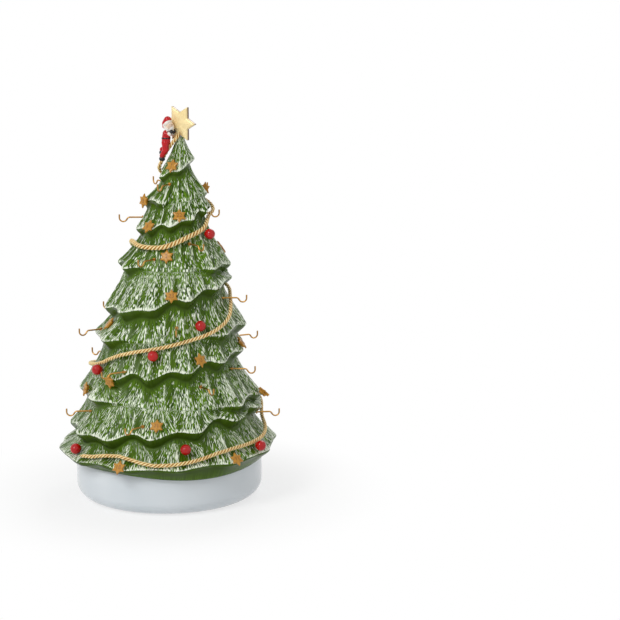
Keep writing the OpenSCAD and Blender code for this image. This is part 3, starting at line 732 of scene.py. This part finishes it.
# Pieces of a node, in millimetres
def solids_of(name):
    """The corners of each separate solid of a node, in millimetres, the highest solid first."""
    mesh = bmesh.new()
    mesh.from_mesh(nodes[name].data)
    bmesh.ops.remove_doubles(mesh, verts=mesh.verts, dist=1e-6)
    left = set(mesh.verts)
    solids = []
    while left:
        found = [left.pop()]
        for vertex in found:
            fresh = {edge.other_vert(vertex) for edge in vertex.link_edges} & left
            left -= fresh
            found += fresh
        solids.append(np.array([v.co for v in found])/MM)
    mesh.free()
    return sorted(solids, key=lambda corners: tuple(-corners.mean(0)[[2, 0]]))


# Number stars: pillowed plates on a narrower bed that sinks into the boughs
STAR_ROWS = 4
STAR_WAIST = 0.6
STAR_BED = 3             # depth of the bed under a plate, mm
STAR_CROWN = 0.45        # height of the middle over the model's plate, mm
# From the front down: share of the outline, and height over the model's plate, mm
STAR_LAYERS = [(0.72, 0.35), (0.9, 0.1), (1, -0.5), (1, -1.5), (0.7, -1.9), (0.55, -1.5 - STAR_BED)]
DAYS = 24
NUMBER_SIZE = 6.2
NUMBER_STEP = 7          # the days are dealt round the tree in steps of this
NUMBER_RELIEF = 0.02     # half the thickness of a number, as a share of its size
NUMBER_LIFT = 0.42       # height of a number's middle over the model's plate, mm


def star_outline(reach, waist):
    """Corners of a six-pointed star, its points and waists in turn."""
    spokes = [reach, waist*reach]*6
    return [(spoke*math.cos(i*math.pi/6), spoke*math.sin(i*math.pi/6)) for i, spoke in enumerate(spokes)]


def star_place(corners):
    """Middle of a star's front, its outward normal, the way to its upper point and its reach."""
    middle = corners.mean(0)
    spread = np.linalg.svd(corners - middle)[2]
    normal = spread[2]
    outward = np.array([middle[0] - lean_x(middle[2]), middle[1], 0])
    normal = normal if normal @ outward > 0 else -normal
    flat = (corners - middle) - np.outer((corners - middle) @ normal, normal)
    reach = np.linalg.norm(flat, axis=1)
    tips = flat[reach > 0.9*reach.max()]
    upward = tips[tips[:, 2].argmax()]
    depth = ((corners - middle) @ normal).max()
    return middle + depth*normal, normal, upward/np.linalg.norm(upward), reach.max()


def number_mesh(number):
    """Flat outlines of a plain number as a mesh, centred, in units of its own height."""
    curve = bpy.data.curves.new("number", "FONT")
    curve.body = str(number)
    curve.align_x = "CENTER"
    curve.align_y = "CENTER"
    curve.extrude = NUMBER_RELIEF
    shape = bpy.data.objects.new("number", curve)
    bpy.context.scene.collection.objects.link(shape)
    bpy.context.view_layer.update()
    mesh = shape.evaluated_get(bpy.context.evaluated_depsgraph_get()).to_mesh()
    points = np.array([v.co for v in mesh.vertices])
    faces = [list(p.vertices) for p in mesh.polygons]
    bpy.data.objects.remove(shape)
    bpy.data.curves.remove(curve)
    return points, faces


def star_mesh(place, start):
    """Points and faces of a star at a place, for points that begin at a given one."""
    front, normal, upward, reach = place
    across = np.cross(upward, normal)
    outline = star_outline(reach, STAR_WAIST)
    points = [front + STAR_CROWN*normal]
    for share, height in STAR_LAYERS:
        points += [front + share*(x*upward + y*across) + height*normal for x, y in outline]
    rows, count = len(STAR_LAYERS), len(outline)
    rim = list(range(start + 1, start + 1 + count))
    fan = [[start, rim[i], rim[i - 1]] for i in range(count)]
    walls = grid_faces(rows, count)[:, ::-1] + rim[0]
    back = [point + (rows - 1)*count for point in rim]
    return points, fan + walls.tolist() + [back]


def make_number_stars():
    glaze, paint = star_glaze(), number_paint()
    number = 0
    for row in range(1, STAR_ROWS + 1):
        points, faces = [], []
        digits, digit_faces = [], []
        for corners in solids_of(f"number_stars_row_{row}"):
            place = star_place(corners)
            star, star_faces = star_mesh(place, len(points))
            points += star
            faces += star_faces
            front, normal, upward, _ = place
            across = np.cross(upward, normal)
            raised = front + NUMBER_LIFT*normal
            shape, shape_faces = number_mesh(number*NUMBER_STEP % DAYS + 1)
            first = len(digits)
            digits += [raised + NUMBER_SIZE*(x*across + y*upward + z*normal) for x, y, z in shape]
            digit_faces += [[first + k for k in face] for face in shape_faces]
            number += 1
        stars = piece(f"number_stars_{row}", points, faces, glaze, "tree", smooth=False)
        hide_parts(f"number_stars_row_{row}")
        piece(f"day_numbers_{row}", digits, digit_faces, paint, "tree", smooth=False)


make_number_stars()

# Baubles: balls with a soft collar of glaze where each one sits on the boughs
BAUBLE_ROWS, BAUBLE_COLUMNS = 28, 40
BAUBLE_POLE = 0.02       # share of the way from the front to the back at which the first row lies
BAUBLE_COLLAR = 0.32     # width of the collar, as a share of the ball's radius
COLLAR_FROM = 0.75       # share of the rows at which the collar starts
UP = np.array([0, 0, 1])


def make_baubles():
    points, faces = [], []
    turns = np.arange(BAUBLE_COLUMNS)*math.tau/BAUBLE_COLUMNS
    for corners in solids_of("baubles"):
        low, high = corners.min(0), corners.max(0)
        middle, r = (low + high)/2, (high - low).mean()/2
        out = np.array([middle[0] - lean_x(middle[2]), middle[1], 0])
        out /= np.linalg.norm(out)
        side = np.cross(UP, out)
        faces += capped_faces(BAUBLE_ROWS + 1, BAUBLE_COLUMNS, len(points))
        for share in np.linspace(0, 1, BAUBLE_ROWS + 1):
            angle = math.pi*(BAUBLE_POLE + (1 - BAUBLE_POLE)*share)
            depth = math.cos(angle)
            reach = math.sin(angle) + BAUBLE_COLLAR*ease(COLLAR_FROM, 1, share)
            points += [middle + r*(depth*out + reach*(math.cos(a)*side + math.sin(a)*UP)) for a in turns]
    balls = piece("glazed_baubles", points, faces, red_glaze(), "tree")
    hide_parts("baubles")


make_baubles()

# Top star: a pillowed six-pointed star
TOP_STAR_WAIST = 0.58
TOP_STAR_RIM, TOP_STAR_MID = 4.4, 8   # thickness at the rim and in the middle, mm
TOP_STAR_TURN = -34
EDGE_STEPS = 8           # points along each edge of the outline
PILLOW_POWER = 2.2
PILLOW_SHARES = (0.01, 0.1, 0.2, 0.3, 0.4, 0.5, 0.6, 0.7, 0.8, 0.88, 0.94)   # of the outline
RIM_ROUND = ((0.985, 0.2), (1, 0.7))  # rounding of the rim: share of the outline, and drop, mm
PAINT_LINE, PAINT_FADE = 0.5, 0.1     # the painted reflection turns the wall brown from here, in front of its middle, and within this, mm
WALL_SHARE = 0.96        # shares over this belong to the wall


def make_top_star():
    low, high = (np.array(corner)/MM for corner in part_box("top_star"))
    middle = (low + high)/2
    reach = (high - low)[2]/2/math.sin(math.pi/3)
    turn = math.radians(TOP_STAR_TURN)
    across = np.array([math.cos(turn), math.sin(turn), 0])
    front = np.array([math.sin(turn), -math.cos(turn), 0])
    corners = np.array(star_outline(reach, TOP_STAR_WAIST))
    outline = []
    for corner, following in zip(corners, np.roll(corners, -1, 0)):
        outline += [corner + (following - corner)*step/EDGE_STEPS for step in range(EDGE_STEPS)]
    swell = TOP_STAR_MID - TOP_STAR_RIM
    half = [(share, (TOP_STAR_RIM + swell*(1 - share**PILLOW_POWER))/2) for share in PILLOW_SHARES]
    half += [(share, TOP_STAR_RIM/2 - drop) for share, drop in RIM_ROUND]
    wall = [(1, PAINT_LINE + PAINT_FADE), (1, PAINT_LINE - PAINT_FADE)]
    layers = half + wall + [(share, -depth) for share, depth in half[::-1]]
    points, rim = [], []
    for share, depth in layers:
        points += [middle + share*(x*across + y*UP) + depth*front for x, y in outline]
        # Painted reflection in brown on the wall behind the paint line.
        rim += [float(share > WALL_SHARE and depth < PAINT_LINE)]*len(outline)
    faces = capped_faces(len(layers), len(outline))
    star = piece("gold_top_star", points, faces, gold_lustre(), "tree")
    store(star, "rim", rim)
    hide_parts("top_star")


make_top_star()

# Climbing figure: modelled in one, then painted
FIGURE_AT = (-14.7, -3.5, -25.5)   # from the tip, mm
FIGURE_TURN = -22
FIGURE_VOXEL = 0.32                # fineness of the modelled surface, mm
RING_LIMBS = 12                    # limbs that make up the hat's trim and the belt
EYE_AT, EYE_R = (7.3, 1.7, 39.2), 0.65
RED, WHITE, BLACK, SKIN, BROWN = (linear(c) for c in ("#C0141A", "#F0ECE2", "#17171A", "#EBD0B8", "#6B3D1C"))


def figure_parts():
    """Rounded limbs of the figure as drawn, facing +X, with its lower boot on the ground.

    Each has its paint, one end and its radius, and the other end and its radius.
    """
    parts = []
    for side, step_up in ((-1, 0), (1, 6)):
        boot = np.array([-5.2 - 0.45*step_up, 3*side, 2.1 + step_up])
        knee = (0.3, 3*side, 12 + step_up/2)
        parts += [
            (BLACK, boot, 2.5, boot + [2.4, 0, -0.3], 2),
            (RED, boot + [0.7, 0, 3.4], 2.5, knee, 3.4),
            (RED, knee, 3.4, (-0.8, 2.2*side, 19.6), 4),
            (RED, (0.2, 4.4*side, 30), 2.4, (4.2, 4.6*side, 28.4), 2.1),
            (WHITE, (5.2, 4.2*side, 29.3), 2.35, (5.5, 4.1*side, 29.6), 2.35),
            (BLACK, (6.6, 3.4*side, 30.8), 2.1, (7.5, 3*side, 31.7), 2.2),
            (WHITE, (7.1, 1.2*side, 36.4), 0.9, (6.2, 2.8*side, 35.6), 0.7),
            (WHITE, (0.2, 3.9*side, 36.4), 1.7, (3, 3.6*side, 33.4), 1.6),
        ]
    parts += [
        (RED, (-0.8, 0, 21), 4.8, (0, 0, 29), 4.4),
        (SKIN, (2.6, 0, 37.6), 5, (3, 0, 38.4), 5),
        (SKIN, (7.9, 0, 38), 0.9, (8.2, 0, 37.7), 0.9),
        (WHITE, (5.4, 0, 35.4), 3.3, (4.8, 0, 31.4), 2.6),
        (RED, (0, 0, 40), 4.7, (1.6, 0, 43.8), 4.2),
        (RED, (-2.6, 0, 39.4), 2.4, (-2.8, 0, 36.4), 1.8),
    ]
    for limb in range(RING_LIMBS):
        angles = [turn*math.tau/RING_LIMBS for turn in (limb, limb + 1)]
        trim = [(1.5 + 3.2*math.cos(a), 4.7*math.sin(a), 40.3 + 2.6*math.cos(a)) for a in angles]
        belt = [(-0.6 + 4.2*math.cos(a), 4.2*math.sin(a), 24.4) for a in angles]
        parts.append((WHITE, trim[0], 1.6, trim[1], 1.6))
        parts.append((BLACK, belt[0], 0.9, belt[1], 0.9))
    return [(paint, np.array(a, float), ra, np.array(b, float), rb) for paint, a, ra, b, rb in parts]


def limb_distance(points, part):
    """Signed distance from points to a rounded limb."""
    _, a, ra, b, rb = part
    ab = b - a
    t = np.clip((points - a) @ ab/max(ab @ ab, 1e-9), 0, 1)
    return np.linalg.norm(points - a - t[:, None]*ab, axis=1) - (ra + (rb - ra)*t)


def limb_mesh(part):
    """Hull of a limb's two round ends, as a new mesh."""
    _, a, ra, b, rb = part
    shape = bmesh.new()
    for centre, radius in ((a, ra), (b, rb)):
        bmesh.ops.create_icosphere(shape, subdivisions=3, radius=radius, matrix=Matrix.Translation(centre))
    hull = bmesh.ops.convex_hull(shape, input=shape.verts[:])
    inner = {g for g in hull["geom_interior"] + hull["geom_unused"] if isinstance(g, bmesh.types.BMVert)}
    bmesh.ops.delete(shape, geom=list(inner), context="VERTS")
    made = bpy.data.meshes.new("limb")
    shape.to_mesh(made)
    shape.free()
    return made


def figure_solid(parts):
    """Points and faces of the limbs joined into one softened surface."""
    mesh = bmesh.new()
    for part in parts:
        limb = limb_mesh(part)
        mesh.from_mesh(limb)
        bpy.data.meshes.remove(limb)
    raw = bpy.data.meshes.new("limbs")
    mesh.to_mesh(raw)
    mesh.free()
    figure = bpy.data.objects.new("limbs", raw)
    bpy.context.scene.collection.objects.link(figure)
    remesh = figure.modifiers.new("union", "REMESH")
    remesh.mode = "VOXEL"
    remesh.voxel_size = FIGURE_VOXEL
    soften = figure.modifiers.new("soften", "SMOOTH")
    soften.factor = 0.5
    soften.iterations = 4
    bpy.context.view_layer.update()
    solid = figure.evaluated_get(bpy.context.evaluated_depsgraph_get()).to_mesh()
    points = np.array([v.co for v in solid.vertices])
    faces = [list(p.vertices) for p in solid.polygons]
    bpy.data.objects.remove(figure)
    bpy.data.meshes.remove(raw)
    return points, faces


def make_figure():
    parts = figure_parts()
    drawn, faces = figure_solid(parts)
    nearest = np.array([limb_distance(drawn, part) for part in parts]).argmin(0)
    paint = np.array([part[0] for part in parts])[nearest]
    for side in (-1, 1):
        eye = np.linalg.norm(drawn - np.array(EYE_AT)*[1, side, 1], axis=1) < EYE_R
        paint[eye] = BROWN
    turn = np.array(Matrix.Rotation(math.radians(FIGURE_TURN), 3, "Z"))
    at = np.array([lean_x(TIP_Z), 0, TIP_Z]) + FIGURE_AT
    painted = piece("painted_figure", drawn @ turn.T + at, faces, figure_enamel(), "tree")
    store(painted, "paint", paint, "FLOAT_COLOR")
    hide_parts("climbing_figure")


make_figure()

# CAD nodes that keep their own shape
CARRIED = [
    (brass_wire(), [name for name in nodes if name.startswith("hook_")]),
    (zinc_steel(), ["spindle", "spindle_washer", "spindle_nut", "star_pin"]),
    (moulded_nylon(), ["deck_bush", "glide_ring"]),
    (fibre_board(), ["foot_disc"]),
    (grained_sheet(), ["base_cover"]),
    (pressed_felt(), ["base_felt"]),
]
for material, names in CARRIED:
    for name in names:
        nodes[name].data.materials.clear()
        nodes[name].data.materials.append(material)

# Camera at the photograph's viewing angle
PHOTO_PX, FOCAL_PX = 620, 1980            # width of the picture and its focal length, px
SENSOR = 36
CAMERA_AT = (0.15635, -2.12276, 0.6512)   # m
CAMERA_PITCH = 11.86                      # degrees below level


def make_camera():
    lens = bpy.data.cameras.new("camera")
    lens.sensor_width = SENSOR
    lens.lens = FOCAL_PX/PHOTO_PX*SENSOR
    camera = bpy.data.objects.new("camera", lens)
    camera.location = CAMERA_AT
    camera.rotation_euler = (math.radians(90 - CAMERA_PITCH), 0, 0)
    bpy.context.scene.collection.objects.link(camera)
    bpy.context.scene.camera = camera


make_camera()

# Floor, world and lamps
FLOOR_HALF = 6                       # half the floor's width, m
FLOOR_NEAR, FLOOR_FAR = 0.11, 0.26   # distances from the axis between which its shading fades to white, m
FLOOR_WHITE = 0.7                    # share of plain white in the floor next to the object
ROOM_LIGHT = 0.44                    # strength of the world as light
LAMP_TARGET = Vector((0, 0, 0.2))
# Name, place in m, power in W and width in m
LAMPS = [
    ("key", (-1.1, -1.6, 1.7), 29, 0.85),
    ("fill", (1.6, -1.2, 1.0), 1.5, 1.2),
    ("rim", (0.6, 1.6, 1.5), 10, 0.9),
]


def seen_rays(tree):
    """1 for rays from the camera and for those that mirror or pass the background, else 0."""
    path = add(tree, "LightPath").outputs
    mirrored = add(tree, "Math", {}, {0: path["Is Glossy Ray"], 1: path["Is Transmission Ray"]},
                   operation="MAXIMUM")
    return add(tree, "Math", {}, {0: path["Is Camera Ray"], 1: mirrored.outputs[0]}, operation="MAXIMUM")


def pale_floor():
    """Matt white floor: it keeps the shadow near the object and is plain white further out."""
    made, tree, shader = finish_of("pale_floor", {"Base Color": linear("#F6F6F6"), "Roughness": 0.9})
    place = add(tree, "TexCoord")
    distance = add(tree, "VectorMath", {}, {0: place.outputs["Object"]}, operation="LENGTH")
    away = add(tree, "MapRange", {1: FLOOR_NEAR, 2: FLOOR_FAR, 3: FLOOR_WHITE, 4: 1},
               {0: distance.outputs["Value"]}, interpolation_type="SMOOTHSTEP")
    plain = add(tree, "Math", {}, {0: away.outputs[0], 1: seen_rays(tree).outputs[0]}, operation="MULTIPLY")
    white = add(tree, "Emission", {"Color": (1, 1, 1, 1), "Strength": 1})
    both = add(tree, "MixShader", {}, {0: plain.outputs[0], 1: shader.outputs[0], 2: white.outputs[0]})
    tree.links.new(both.outputs[0], tree.nodes["Material Output"].inputs["Surface"])
    return made


def make_floor():
    corners = [(x*FLOOR_HALF, y*FLOOR_HALF, 0) for x, y in ((-1, -1), (1, -1), (1, 1), (-1, 1))]
    mesh = bpy.data.meshes.new("floor")
    mesh.from_pydata(corners, [], [(0, 1, 2, 3)])
    mesh.materials.append(pale_floor())
    floor = bpy.data.objects.new("floor", mesh)
    bpy.context.scene.collection.objects.link(floor)


def make_world():
    """A white room: it is seen at strength 1 and lights the object at a plain level."""
    world = bpy.data.worlds.new("studio")
    world.use_nodes = True
    tree = world.node_tree
    background = tree.nodes["Background"]
    background.inputs["Color"].default_value = (1, 1, 1, 1)
    strength = add(tree, "MapRange", {3: ROOM_LIGHT, 4: 1}, {0: seen_rays(tree).outputs[0]})
    tree.links.new(strength.outputs[0], background.inputs["Strength"])
    bpy.context.scene.world = world


def make_lamps():
    for name, place, power, width in LAMPS:
        lamp = bpy.data.lights.new(name, "AREA")
        lamp.energy = power
        lamp.size = width
        light = bpy.data.objects.new(name, lamp)
        light.location = place
        light.rotation_euler = (LAMP_TARGET - Vector(place)).to_track_quat("-Z", "Y").to_euler()
        bpy.context.scene.collection.objects.link(light)


make_floor()
make_world()
make_lamps()
bpy.context.scene.view_settings.view_transform = "Standard"
